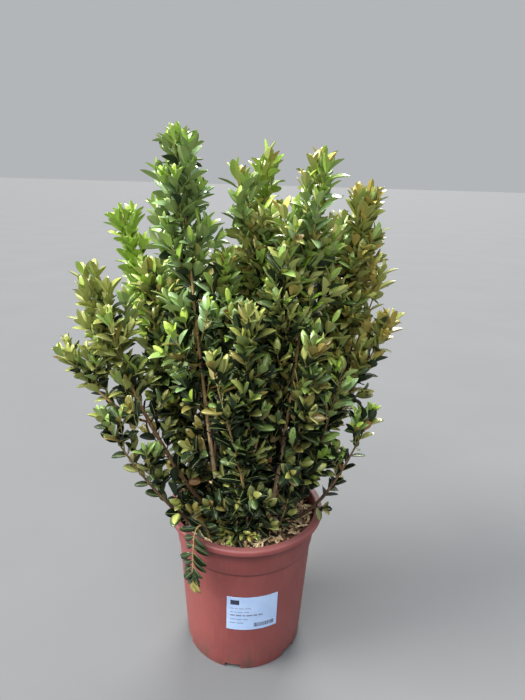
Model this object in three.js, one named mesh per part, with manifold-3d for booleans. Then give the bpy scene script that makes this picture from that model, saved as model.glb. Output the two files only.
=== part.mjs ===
// A young boxwood shrub in the tapered plastic pot it is grown and sold in.
// Millimetres, +Z up. The origin is the centre of the pot's underside, and the label faces -Y.
// Stems rise from the potting mix and fan out like a vase, some of them fork into boughs, and each
// stem or bough ends in a mass of leafy shoots. Every stem, bough and mass is a solid of its own.
import * as THREE from "three";
import { mergeVertices } from "three/addons/utils/BufferGeometryUtils.js";
import Module from "manifold-3d";

const wasm = await Module();
wasm.setup();

// Driving dimensions of the pot, its filling and its label.
const POT = {
  rimRadius: 110,
  baseRadius: 86,
  height: 220,
  wall: 2,
  floor: 10,
  stepHeight: 172,
  stepRadius: 96,
  stepOut: 2,
  collarTop: 210,
  collarRadius: 101,
  lipDrop: 9,
  notches: 6,
  notchWidth: 23,
  notchHeight: 7.5,
  notchTurn: 262,
  channelReach: 30,
  drainRadius: 5,
  drainCircle: 62,
  grooveWidth: 1.6,
  grooveDepth: 0.8,
  grooveHeight: 42,
  sides: 40,
};
const MIX = { top: 206, flat: 64, edgeDrop: 6 };
const LABEL = { width: 71, height: 58, bottom: 76, turn: 9, thickness: 0.5 };

// Driving dimensions of the shrub. Its real leaves are about 22 mm long. These solid ones are fewer
// and larger, and each stands for a small spray.
const GAP = 0.3;
const LEAF = { length: 46, width: 28, widest: 0.55, thickness: 1.8 };
const TWIG = { root: 1.6, tip: 1.2, sides: 4 };
const STEM = { foot: 3.8, tip: 1.5, flare: 2.2, flareHeight: 9, sides: 5, steps: 4, massSides: 4 };
const BOUGH_SHARE = 0.72;
const STATION = 14;
const EVERY = 4;
const GOLDEN = 137.5;
const CLEAR = 1.2;
const CROSSING = 0.5;

// Each leader runs on one smooth curve from its foot to its tip. Angles are degrees round the pot
// from +X, and -90 faces the front. It leaves the mix at foot: [angle, radius], or forks from
// another leader at a share of that one's curve, and ends at tip: [angle, radius, height]. A spread
// below 1 makes it lean out first and then rise. It is bare as far as the share in bare, and from
// there it carries a mass of shoots that reach girth from it.
const LEADERS = [
  { name: "left_column", foot: [240, 32], tip: [209, 93, 725], spread: 0.3, bare: 0.3, girth: 42 },
  { name: "left_back", foot: [150, 30], tip: [161, 188, 633], spread: 0.45, bare: 0.32, girth: 40 },
  { name: "left_upper", foot: [212, 36], tip: [188, 209, 571], spread: 0.7, bare: 0.48, girth: 44 },
  { name: "left_reach", fork: ["left_upper", 0.44], tip: [192, 243, 473], spread: 0.7, bare: 0.2, girth: 33 },
  { name: "left_low", foot: [228, 54], tip: [204, 200, 406], spread: 0.6, bare: 0.3, girth: 36 },
  { name: "left_inner", foot: [185, 20], tip: [171, 132, 569], spread: 0.4, bare: 0.2, girth: 44 },
  { name: "centre_tall", foot: [20, 12], tip: [35, 20, 712], spread: 1, bare: 0.35, girth: 38 },
  { name: "centre_left", fork: ["centre_tall", 0.27], tip: [225, 32, 690], spread: 0.8, bare: 0.25, girth: 32 },
  { name: "right_centre", foot: [305, 36], tip: [335, 86, 705], spread: 0.3, bare: 0.3, girth: 42 },
  { name: "right_tall", foot: [10, 30], tip: [15, 153, 670], spread: 0.45, bare: 0.32, girth: 40 },
  { name: "right_outer", fork: ["right_tall", 0.26], tip: [5, 172, 574], spread: 0.7, bare: 0.25, girth: 34 },
  { name: "far_right", foot: [356, 40], tip: [359, 188, 516], spread: 0.9, bare: 0.28, girth: 35 },
  { name: "right_low", foot: [340, 53], tip: [350, 170, 397], spread: 0.5, bare: 0.28, girth: 37 },
  { name: "right_mid", foot: [328, 40], tip: [334, 132, 470], spread: 0.45, bare: 0.2, girth: 38 },
  { name: "front_centre", foot: [275, 34], tip: [270, 112, 546], spread: 0.35, bare: 0.22, girth: 37 },
  { name: "front_left", fork: ["front_centre", 0.16], tip: [250, 126, 492], spread: 0.6, bare: 0.15, girth: 27 },
  { name: "front_right", fork: ["right_centre", 0.15], tip: [306, 126, 510], spread: 0.5, bare: 0.2, girth: 34 },
  { name: "centre_fill", fork: ["right_centre", 0.2], tip: [300, 76, 608], spread: 0.9, bare: 0.2, girth: 38 },
  { name: "left_fill", fork: ["left_column", 0.2], tip: [243, 62, 600], spread: 0.8, bare: 0.2, girth: 38 },
  { name: "back_left", foot: [125, 30], tip: [131, 182, 592], spread: 0.45, bare: 0.25, girth: 48 },
  { name: "back_centre", foot: [82, 32], tip: [86, 168, 640], spread: 0.4, bare: 0.25, girth: 46 },
  { name: "back_right", foot: [45, 30], tip: [49, 186, 588], spread: 0.45, bare: 0.25, girth: 48 },
  { name: "back_low_left", fork: ["back_left", 0.19], tip: [141, 208, 408], spread: 0.8, bare: 0.2, girth: 44 },
  { name: "back_low", fork: ["back_centre", 0.19], tip: [91, 202, 432], spread: 0.7, bare: 0.2, girth: 44 },
  { name: "back_low_right", fork: ["back_right", 0.19], tip: [38, 204, 404], spread: 0.8, bare: 0.2, girth: 44 },
  { name: "basal_front", foot: [262, 58], tip: [264, 92, 330], spread: 0.6, bare: 0, girth: 38 },
  { name: "basal_left", foot: [200, 60], tip: [198, 104, 310], spread: 0.6, bare: 0, girth: 36 },
  { name: "basal_right", foot: [312, 60], tip: [312, 92, 300], spread: 0.6, bare: 0, girth: 34 },
  { name: "basal_back", foot: [105, 58], tip: [108, 96, 320], spread: 0.6, bare: 0, girth: 38 },
  { name: "basal_side", foot: [22, 58], tip: [20, 96, 300], spread: 0.6, bare: 0, girth: 36 },
];

// The one shoot that arches over the rim and hangs down outside: [radius, height] along one angle.
const HANGING = {
  name: "hanging_shoot",
  angle: 239,
  route: [[84, MIX.top - 2], [98, 238], [119, 238], [124, 160]],
  girth: 22,
};

const COLOURS = {
  pot: { color: "#a85448", roughness: 0.55 },
  mix: { color: "#6b4f36", roughness: 0.95 },
  label: { color: "#dfe6f2", roughness: 0.4 },
  bark: { color: "#8a6a45", roughness: 0.85 },
  foliage: { color: "#55692f", roughness: 0.45 },
};

const FRONT = new THREE.Vector3(0, -1, 0);
const UP = new THREE.Vector3(0, 0, 1);

const radians = (degrees) => (degrees * Math.PI) / 180;
const lerp = (a, b, share) => a + (b - a) * share;

function polar(angle, radius, height) {
  return new THREE.Vector3(radius * Math.cos(radians(angle)), radius * Math.sin(radians(angle)), height);
}

// A small seeded generator, so that the same seed always grows the same shoot.
function randomStream(seed) {
  let state = seed >>> 0;
  return () => {
    state = (state + 0x6d2b79f5) >>> 0;
    let t = state;
    t = Math.imul(t ^ (t >>> 15), t | 1);
    t ^= t + Math.imul(t ^ (t >>> 7), t | 61);
    return ((t ^ (t >>> 14)) >>> 0) / 4294967296;
  };
}

// Solids and meshes.

function solidFrom(geometry) {
  const bare = geometry.clone();
  bare.deleteAttribute("normal");
  bare.deleteAttribute("uv");
  const merged = mergeVertices(bare, 1e-4);
  return new wasm.Manifold(
    new wasm.Mesh({
      numProp: 3,
      vertProperties: new Float32Array(merged.attributes.position.array),
      triVerts: new Uint32Array(merged.index.array),
    }),
  );
}

function geometryFrom(solid) {
  const made = solid.getMesh();
  const geometry = new THREE.BufferGeometry();
  geometry.setAttribute("position", new THREE.BufferAttribute(made.vertProperties, 3));
  geometry.setIndex(new THREE.BufferAttribute(made.triVerts, 1));
  geometry.computeVertexNormals();
  return geometry;
}

// The biggest body of a fused solid: loose scraps and sealed hollows are dropped.
function mainBody(solid) {
  return solid.decompose().reduce((best, body) => (body.volume() > best.volume() ? body : best));
}

function named(name, solid, look) {
  const material = new THREE.MeshStandardMaterial({ ...look, metalness: 0, flatShading: true });
  const mesh = new THREE.Mesh(geometryFrom(solid), material);
  mesh.name = name;
  return mesh;
}

function latheSolid(profile, sides) {
  const points = profile.map(([radius, height]) => new THREE.Vector2(radius, height));
  const geometry = new THREE.LatheGeometry(points, sides);
  geometry.rotateX(Math.PI / 2);
  return solidFrom(geometry);
}

function boxSolid(size, centre, turn = 0) {
  const geometry = new THREE.BoxGeometry(...size);
  geometry.translate(...centre);
  geometry.rotateZ(radians(turn));
  return solidFrom(geometry);
}

// The pot, its filling and its label.

// The outer wall's radius at a height, without the lip.
function wallRadius(height) {
  if (height <= POT.stepHeight) return lerp(POT.baseRadius, POT.stepRadius, height / POT.stepHeight);
  const share = (height - POT.stepHeight) / (POT.collarTop - POT.stepHeight);
  return lerp(POT.stepRadius + POT.stepOut, POT.collarRadius, share);
}

function potSolid() {
  const { rimRadius, height, wall, floor, stepHeight, stepRadius, stepOut, collarTop, collarRadius } = POT;
  const bead = POT.lipDrop / 3;
  const inside = (level) => wallRadius(level) - wall;
  const profile = [
    [0, 0],
    [POT.baseRadius - 1.5, 0],
    [POT.baseRadius, 1.5],
    [stepRadius, stepHeight],
    [stepRadius + stepOut, stepHeight + 2],
    [collarRadius, collarTop],
    [rimRadius - 2, height - POT.lipDrop],
    [rimRadius, height - POT.lipDrop + bead],
    [rimRadius, height - bead],
    [rimRadius - bead, height],
    [collarRadius + 1, height],
    [collarRadius - wall, height - bead],
    [inside(stepHeight + 4), stepHeight + 4],
    [stepRadius - wall, stepHeight],
    [inside(floor + 2), floor + 2],
    [inside(floor) - 2, floor],
    [0, floor],
  ];
  let pot = latheSolid(profile, POT.sides);
  for (let i = 0; i < POT.notches; i++) {
    const turn = POT.notchTurn + (i * 360) / POT.notches;
    const length = POT.baseRadius + 10 - POT.channelReach;
    const middle = POT.channelReach + length / 2;
    const channel = boxSolid([length, POT.notchWidth, 2 * POT.notchHeight], [middle, 0, 0], turn);
    const drain = solidFrom(
      new THREE.CylinderGeometry(POT.drainRadius, POT.drainRadius, 2 * POT.floor + 4, 12)
        .rotateX(Math.PI / 2)
        .translate(POT.drainCircle, 0, 0)
        .rotateZ(radians(turn)),
    );
    const grooveMiddle = [wallRadius(30) + 5 - POT.grooveDepth, -POT.notchWidth / 2, POT.notchHeight];
    const lean = Math.atan((POT.stepRadius - POT.baseRadius) / POT.stepHeight);
    const groove = solidFrom(
      new THREE.BoxGeometry(10, POT.grooveWidth, 2 * POT.grooveHeight)
        .rotateY(lean)
        .translate(...grooveMiddle)
        .rotateZ(radians(turn)),
    );
    pot = pot.subtract(channel).subtract(drain).subtract(groove);
  }
  return mainBody(pot);
}

// The surface of the potting mix: flat in the middle, falling a little to the wall.
function mixSolid() {
  const edge = MIX.top - MIX.edgeDrop;
  const room = POT.wall + GAP + 0.1;
  return latheSolid(
    [
      [0, POT.floor + GAP],
      [wallRadius(POT.floor) - room - 2, POT.floor + GAP],
      [wallRadius(POT.floor + 3) - room, POT.floor + 3],
      [POT.stepRadius - room - 0.1, POT.stepHeight],
      [wallRadius(edge) - room - 0.4, edge],
      [MIX.flat, MIX.top],
      [0, MIX.top],
    ],
    POT.sides,
  );
}

function labelSolid() {
  const { width, height, bottom, turn, thickness } = LABEL;
  const top = bottom + height;
  const inner = (level) => wallRadius(level) + GAP;
  const sleeve = latheSolid(
    [
      [inner(bottom), bottom],
      [inner(bottom) + thickness, bottom],
      [inner(top) + thickness, top],
      [inner(top), top],
      [inner(bottom), bottom],
    ],
    120,
  );
  const window = boxSolid([POT.rimRadius, width, 2 * height], [POT.rimRadius / 2 + 1, 0, bottom + height / 2], turn - 90);
  return mainBody(sleeve.intersect(window));
}

// Limbs: every leader is a curve, and everything on it is worked out from that curve.

class LeaderCurve extends THREE.Curve {
  constructor(start, tip, spread) {
    super();
    Object.assign(this, { start, tip, spread });
  }

  getPoint(share) {
    const [a, r, h] = this.start.map((value, i) =>
      lerp(value, this.tip[i], i === 1 ? share ** this.spread : share),
    );
    return polar(a, r, h);
  }
}

const polarOf = (point, near) => {
  const angle = (Math.atan2(point.y, point.x) * 180) / Math.PI;
  return [angle + 360 * Math.round((near - angle) / 360), Math.hypot(point.x, point.y), point.z];
};

function leaderRadius(leader, share) {
  const rise = leader.curve.getPoint(share).z - MIX.top;
  const flare = leader.fork || leader.bare === 0 ? 0 : STEM.flare * Math.exp(-rise / STEM.flareHeight);
  return lerp(leader.thick, STEM.tip, share) + flare;
}

// The hint turned square to the axis.
function squared(hint, axis) {
  return hint.clone().addScaledVector(axis, -hint.dot(axis)).normalize();
}

// A tapering tube with flat ends through the points, where its rings stand square to the axes. Its
// first edge starts on the side of the hint.
function tubeGeometry(points, axes, radii, sides, hint) {
  const position = [];
  const index = [];
  let side = hint;
  points.forEach((point, i) => {
    side = squared(side, axes[i]);
    const up = axes[i].clone().cross(side);
    for (let k = 0; k < sides; k++) {
      const turn = (2 * Math.PI * k) / sides;
      const spoke = side.clone().multiplyScalar(Math.cos(turn)).addScaledVector(up, Math.sin(turn));
      position.push(...point.clone().addScaledVector(spoke, radii[i]).toArray());
    }
  });
  for (let i = 0; i + 1 < points.length; i++)
    for (let k = 0; k < sides; k++) {
      const a = i * sides + k;
      const b = i * sides + ((k + 1) % sides);
      index.push(a, b, b + sides, a, b + sides, a + sides);
    }
  const last = (points.length - 1) * sides;
  for (let k = 1; k + 1 < sides; k++) {
    index.push(0, k + 1, k);
    index.push(last, last + k, last + k + 1);
  }
  const geometry = new THREE.BufferGeometry();
  geometry.setAttribute("position", new THREE.Float32BufferAttribute(position, 3));
  geometry.setIndex(index);
  return geometry;
}

// The stretch of a leader between two shares of its curve, as a tube. It is cut level at the mix.
function stretch(leader, from, to, sides, steps, grow = 0) {
  const shares = Array.from({ length: steps + 1 }, (_, i) => lerp(from, to, i / steps));
  const points = shares.map((share) => leader.curve.getPoint(share));
  const axes = shares.map((share) => (share === 0 && !leader.fork ? UP : leader.curve.getTangent(share)));
  const radii = shares.map((share) => leaderRadius(leader, share) + grow);
  return solidFrom(tubeGeometry(points, axes, radii, sides, FRONT));
}

// Gives every leader its curve, its length and its thickness, forks after the stems they leave.
function plantLeaders() {
  const planted = new Map();
  LEADERS.forEach((spec, order) => {
    const leader = { ...spec, order };
    if (spec.fork) {
      const parent = planted.get(spec.fork[0]);
      const start = polarOf(parent.curve.getPoint(spec.fork[1]), spec.tip[0]);
      leader.curve = new LeaderCurve(start, spec.tip, spec.spread);
      leader.parent = parent;
      leader.thick = BOUGH_SHARE * leaderRadius(parent, spec.fork[1]);
    } else {
      const start = [...spec.foot, MIX.top + GAP];
      leader.curve = new LeaderCurve(start, spec.tip, spec.spread);
      leader.thick = spec.bare === 0 ? STEM.foot / 2 : STEM.foot;
    }
    leader.length = leader.curve.getLength();
    planted.set(spec.name, leader);
  });
  return [...planted.values()];
}

function limbSolid(leader) {
  const limb = stretch(leader, 0, leader.bare, STEM.sides, STEM.steps);
  if (!leader.parent) return limb;
  const { parent } = leader;
  const around = stretch(parent, 0, parent.bare, STEM.sides, STEM.steps, GAP + 0.1);
  return mainBody(limb.subtract(around));
}

// Foliage: shoots stand round the leader at stations, and leaves stand in pairs on the shoots.

function leafSolid() {
  const { length, width, thickness } = LEAF;
  const widest = LEAF.widest * length;
  const outline = [
    [0, 0],
    [widest, width / 2],
    [length, 0],
    [widest, -width / 2],
  ];
  const position = outline.flatMap(([x, y]) => [x, y, 0]);
  position.push(widest, 0, thickness / 2, widest, 0, -thickness / 2);
  const index = outline.flatMap((_, i) => {
    const next = (i + 1) % outline.length;
    return [next, i, 4, i, next, 5];
  });
  const geometry = new THREE.BufferGeometry();
  geometry.setAttribute("position", new THREE.Float32BufferAttribute(position, 3));
  geometry.setIndex(index);
  return { solid: solidFrom(geometry), probes: leafProbes(outline) };
}

// The places on a leaf that have to be clear: its outline, the middles of its edges and its middle.
function leafProbes(outline) {
  const corners = outline.map(([x, y]) => new THREE.Vector3(x, y, 0));
  const middles = corners.map((corner, i) => corner.clone().lerp(corners[(i + 1) % 4], 0.5));
  return [...corners.slice(1), ...middles, corners[0].clone().lerp(corners[2], 0.5)];
}

// A frame whose X runs along the leaf, and whose Z is its upper face.
function leafFrame(point, axis, outward, lean) {
  const along = axis.clone().multiplyScalar(Math.cos(lean)).addScaledVector(outward, Math.sin(lean));
  const face = axis.clone().multiplyScalar(Math.sin(lean)).addScaledVector(outward, -Math.cos(lean));
  const across = face.clone().cross(along);
  const frame = new THREE.Matrix4().makeBasis(along, across, face);
  return frame.setPosition(point);
}

// One side shoot: a short straight twig that leaves the leader at a slant and leans upwards.
function shootLine(leader, share, station, reach) {
  const draw = randomStream(1000 * (leader.order + 1) + station);
  const foot = leader.curve.getPoint(share);
  const axis = leader.curve.getTangent(share);
  const outward = squared(FRONT, axis).applyAxisAngle(axis, radians(station * GOLDEN + 40 * (draw() - 0.5)));
  const slant = radians(lerp(42, 62, draw()));
  const length = reach * lerp(0.8, 1.05, draw());
  const start = axis.clone().multiplyScalar(Math.cos(slant)).addScaledVector(outward, Math.sin(slant));
  const along = start.addScaledVector(UP, 0.35).normalize();
  const hint = squared(FRONT, along).applyAxisAngle(along, radians(360 * draw()));
  return { curve: new THREE.LineCurve3(foot, foot.clone().addScaledVector(along, length)), along, hint };
}

// How far shoots reach at a share of the mass: fullest in the middle, drawn in to a point at the top.
function fullness(share) {
  return lerp(0.75, 1, Math.min(share / 0.3, 1)) * Math.sqrt(Math.max(1 - share ** 3, 0));
}

// Points along a leader, close enough to measure its distance by.
function railAlong(leader, from, to) {
  return Array.from({ length: 31 }, (_, i) => leader.curve.getPoint(lerp(from, to, i / 30)));
}

function distanceTo(rail, point) {
  return rail.reduce((least, place) => Math.min(least, place.distanceTo(point)), Infinity);
}

// True where a point is in the mass's own space and clear of every limb, the pot and the mix.
function isFree(point, own, leaders) {
  const across = Math.hypot(point.x, point.y);
  const insidePot = across < POT.collarRadius - POT.wall - CLEAR;
  if (point.z < POT.height + CLEAR && !(insidePot && point.z > MIX.top + CLEAR)) {
    if (across < POT.rimRadius + CLEAR) return false;
  }
  const near = distanceTo(own.leafyRail, point) / own.girth;
  return leaders.every((other) => {
    if (other === own) return distanceTo(own.bareRail, point) > own.limbClear;
    const away = distanceTo(other.leafyRail, point);
    if (Math.min(away, distanceTo(other.bareRail, point)) < other.limbClear) return false;
    return near < (away - CLEAR) / other.girth;
  });
}

// The shoots of a mass that fit its own space, and the stem through the middle of it.
function growShoots(leader, top, bottom, free) {
  const shoots = [];
  const stations = Math.round(((top - bottom) * leader.length) / STATION);
  for (let station = 1; station < stations; station += EVERY) {
    const share = lerp(bottom, top, station / stations);
    const reach = leader.girth * fullness(station / stations) - 0.45 * LEAF.length;
    const shoot = shootLine(leader, share, station, Math.max(reach, 12));
    if ([0.4, 0.7, 1].every((at) => free(shoot.curve.getPoint(at)))) shoots.push(shoot);
  }
  return shoots;
}

// One leaf at a joint, at the widest of the leans that fits, or none where no lean does.
function addLeaf(mass, joint, outward, leans) {
  for (const lean of leans) {
    const frame = leafFrame(joint.point, joint.axis, outward, radians(lean));
    if (!mass.leaf.probes.every((probe) => mass.free(probe.clone().applyMatrix4(frame)))) continue;
    const blade = mass.leaf.solid.transform(frame.elements);
    if (mass.solids.some((other) => blade.intersect(other).volume() > CROSSING)) continue;
    if (blade.intersect(mass.limbs).volume() > 0) continue;
    mass.solids.push(blade);
    return;
  }
}

// A pair of leaves, one on each side of a twig.
function addPair(mass, curve, at, hint, turn, leans) {
  const joint = { point: curve.getPoint(at), axis: curve.getTangent(at) };
  for (const side of [0, 180]) {
    const outward = squared(hint, joint.axis).applyAxisAngle(joint.axis, radians(turn + side));
    addLeaf(mass, joint, outward, leans);
  }
}

function massSolid(leader, leaders, leaf) {
  const top = 1 - (0.88 * LEAF.length) / leader.length;
  const bottom = leader.bare === 0 ? 0 : leader.bare + (GAP + 0.1) / leader.length;
  const free = (point) => isFree(point, leader, leaders);
  const shoots = growShoots(leader, top, bottom, free);
  const solids = [stretch(leader, bottom, top, STEM.massSides, 4)];
  for (const { curve, along, hint } of shoots) {
    const ends = [curve.v1, curve.v2];
    solids.push(solidFrom(tubeGeometry(ends, [along, along], [TWIG.root, TWIG.tip], TWIG.sides, hint)));
  }
  const limbs = wasm.Manifold.union(leaders.filter((other) => other !== leader).map((other) => other.sleeve));
  const mass = { solids, free, leaf, limbs };
  for (const { curve, hint } of shoots) {
    addPair(mass, curve, 0.5, hint, 0, [62, 42, 24]);
    addPair(mass, curve, 0.92, hint, 90, [36, 15]);
  }
  addPair(mass, leader.curve, top - 2 / leader.length, FRONT, 0, [22]);
  addPair(mass, leader.curve, top - 18 / leader.length, FRONT, 90, [45, 30]);
  return mainBody(wasm.Manifold.union(solids));
}

// The curve of the hanging shoot, from the mix over the rim and down outside the wall.
function hangingLeader(order) {
  const points = HANGING.route.map(([radius, height]) => polar(HANGING.angle, radius, height));
  const curve = new THREE.CatmullRomCurve3(points);
  return { ...HANGING, order, curve, bare: 0.02, fork: true, thick: 1.6, length: curve.getLength() };
}

function build() {
  const plant = new THREE.Group();
  plant.add(named("pot", potSolid(), COLOURS.pot));
  plant.add(named("potting_mix", mixSolid(), COLOURS.mix));
  plant.add(named("label", labelSolid(), COLOURS.label));
  const leaders = [...plantLeaders(), hangingLeader(LEADERS.length)];
  for (const leader of leaders) {
    leader.bareRail = railAlong(leader, 0, leader.bare);
    leader.leafyRail = railAlong(leader, leader.bare, 1);
    leader.limbClear = leader.thick + CLEAR;
    leader.sleeve = stretch(leader, 0, Math.max(leader.bare, 0.05), STEM.sides, STEM.steps, 2 * GAP);
  }
  const leaf = leafSolid();
  for (const leader of leaders) {
    if (leader.bare > 0.1) plant.add(named(`stem_${leader.name}`, limbSolid(leader), COLOURS.bark));
    plant.add(named(leader.name, massSolid(leader, leaders, leaf), COLOURS.foliage));
  }
  return plant;
}

export default build();
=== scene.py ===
"""A young boxwood shrub in its nursery pot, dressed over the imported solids.

The tables and the rule of growth are those of the part's source, in millimetres and degrees. The
meshes are made in metres.
"""

import math

import bmesh
import bpy
import numpy as np
from mathutils import Euler, Matrix, Vector


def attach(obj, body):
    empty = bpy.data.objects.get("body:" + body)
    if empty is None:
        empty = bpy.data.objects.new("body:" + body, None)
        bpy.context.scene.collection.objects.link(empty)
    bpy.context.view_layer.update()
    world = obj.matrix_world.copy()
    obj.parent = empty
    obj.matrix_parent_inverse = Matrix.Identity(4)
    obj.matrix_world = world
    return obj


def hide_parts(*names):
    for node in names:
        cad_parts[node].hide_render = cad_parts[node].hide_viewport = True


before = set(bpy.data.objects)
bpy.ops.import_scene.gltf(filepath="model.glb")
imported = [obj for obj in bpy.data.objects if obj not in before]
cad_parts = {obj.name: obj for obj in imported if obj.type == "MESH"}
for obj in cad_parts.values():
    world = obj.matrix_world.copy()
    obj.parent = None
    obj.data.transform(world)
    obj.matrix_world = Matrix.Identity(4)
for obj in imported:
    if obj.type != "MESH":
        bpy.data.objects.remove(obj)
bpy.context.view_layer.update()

MM = 0.001
# The colour sockets of a Mix node: two inputs and its output.
MIX_A = 6
MIX_B = 7
MIX_RESULT = 2

# The camera, solved from the rim, the foot and the height of the pot.
PHOTO_HEIGHT = 700
FOCAL_PIXELS = 526.0
SENSOR = 36.0
CAMERA_PLACE = (0.0174, -0.656, 0.669)
CAMERA_PITCH = 18.33
CAMERA_ROLL = 1.7

# The pot, its filling and its label, as in the part's source.
RIM_RADIUS = 110.0
BASE_RADIUS = 86.0
POT_HEIGHT = 220.0
WALL = 2.0
FLOOR = 10.0
STEP_HEIGHT = 172.0
STEP_RADIUS = 96.0
STEP_OUT = 2.0
COLLAR_TOP = 210.0
COLLAR_RADIUS = 101.0
LIP_DROP = 9.0
NOTCHES = 6
NOTCH_WIDTH = 23.0
NOTCH_HEIGHT = 7.5
NOTCH_TURN = 262.0
CHANNEL_REACH = 30.0
DRAIN_RADIUS = 5.0
DRAIN_CIRCLE = 62.0
GROOVE_WIDTH = 1.6
GROOVE_DEPTH = 0.8
GROOVE_HEIGHT = 42.0
POT_SIDES = 144
CREASE = 32.0
# Bands of painted shade, a little darker, under the collar's ledge and under the rim: from, to and
# how much.
PAINTED_SHADE_BANDS = ((STEP_HEIGHT - 3.2, STEP_HEIGHT + 0.4, 0.75), (195.0, COLLAR_TOP, 0.5))
MIX_TOP = 206.0
MIX_FLAT = 64.0
MIX_EDGE_DROP = 6.0
MIX_SIDES = 96
LUMP_HEIGHT = 2.2
CHIPS = 1050
CHIPS_REACH = 92.0
CHIP_RINGS = 4
CHIP_SIDES = 6
STRAW_SHARE = 0.60
TAN_SHARE = 0.18
LABEL = {"width": 71.0, "height": 58.0, "bottom": 76.0, "turn": 9.0, "thickness": 0.5}

# The shrub's rule of growth, as in the part's source.
GAP = 0.3
SOLID_LEAF = 46.0
STEM_FOOT = 3.8
STEM_TIP = 1.5
FLARE = 2.2
FLARE_HEIGHT = 9.0
BOUGH_SHARE = 0.72
STATION = 14.0
GOLDEN = 137.5

# The scene's own growth: leaves of true size in pairs, and their steps along a leader, its open
# top, a side shoot and the hanging shoot.
LEAF_LENGTH = 24.5
LEAF_WIDTH = 12.4
LEADER_STEP = 12.5
OPEN_STEP = 16.5
NODE_STEP = 9.5
HANGING_STEP = 11.0
# The length of shoot that is left past a leaf at its tip, past its outer leaves, and past those of
# a leader and of the hanging shoot.
TIP_END = 6.0
OUTER_END = 24.0
LEADER_END = 140.0
HANGING_END = 45.0
# The angle of the leaves to their shoot at its tip, high up and low down.
TIP_SPREAD = 20.0
HIGH_SPREAD = 44.0
LOW_SPREAD = 50.0
# Leaves are pointed above this height, and all are round this far below it.
ROUND_TOP = 480.0
ROUND_FADE = 160.0
# Leaves below this height are smaller and wider, and change over so much height above it.
SMALL_TOP = 260.0
SMALL_FADE = 80.0
WIDE_FADE = 200.0
# Pairs stand closer where no more than this is left of a leader or of a shoot.
LEADER_CLOSE = 34.0
SHOOT_CLOSE = 14.0
CLOSE_STEP = 0.55
# The length of short and of long side shoots beside their reach.
SHORT = (0.45, 0.9)
LONG = (1.2, 1.75)
# The shares of side shoots that are missing: those under a bough, before a stem that shows, in a
# sparse mass, high in a spire, and short ones high up.
UNDER_MISSING = 0.8
FRONT_MISSING = 0.85
SPARSE_MISSING = 0.72
SPIRE_MISSING = 0.36
SHORT_MISSING = 0.3
# Side shoots longer than this have twigs.
TWIGGY_LENGTH = 40.0
GROUND_SHOOTS = 12
# The size of leaves: in low masses on their leaders and on side shoots, on boughs that lean out,
# and on the leaders of spires.
LOW_SIZES = (0.75, 0.68)
LEAN_SIZE = 0.85
SPIRE_SIZE = 1.1
# The share of low shoots with yellow leaves, and how much less painted shade they get.
SPRIG_SHARE = 0.5
SPRIG_SHADE = 0.15
# The girth of the stems beside those of the solids, which are thicker than life.
STEM_SLIM = 0.84
SLENDER_SLIM = 0.66
LIMB_SIDES = 12
# The most triangles in one piece of leaves.
PIECE_TRIANGLES = 190000
# Keeps the numbers of the seeded generator to 32 bits.
MASK = 0xFFFFFFFF

# A leaf's outline: shares of its length, and half widths there. Then its pairs of bend and fold.
ROWS = (0.0, 0.14, 0.34, 0.58, 0.84, 1.0)
POINTED = (0.07, 0.46, 0.88, 1.0, 0.66, 0.14)
ROUND = (0.08, 0.56, 0.95, 1.0, 0.76, 0.26)
BENDS = ((0.10, 0.10), (-0.08, 0.16), (0.18, 0.04), (0.02, 0.20), (0.28, 0.10))
ROW_POINTS = 5

UP = np.array([0.0, 0.0, 1.0])
FRONT = np.array([0.0, -1.0, 0.0])
EYE = np.array(CAMERA_PLACE) / MM

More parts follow.
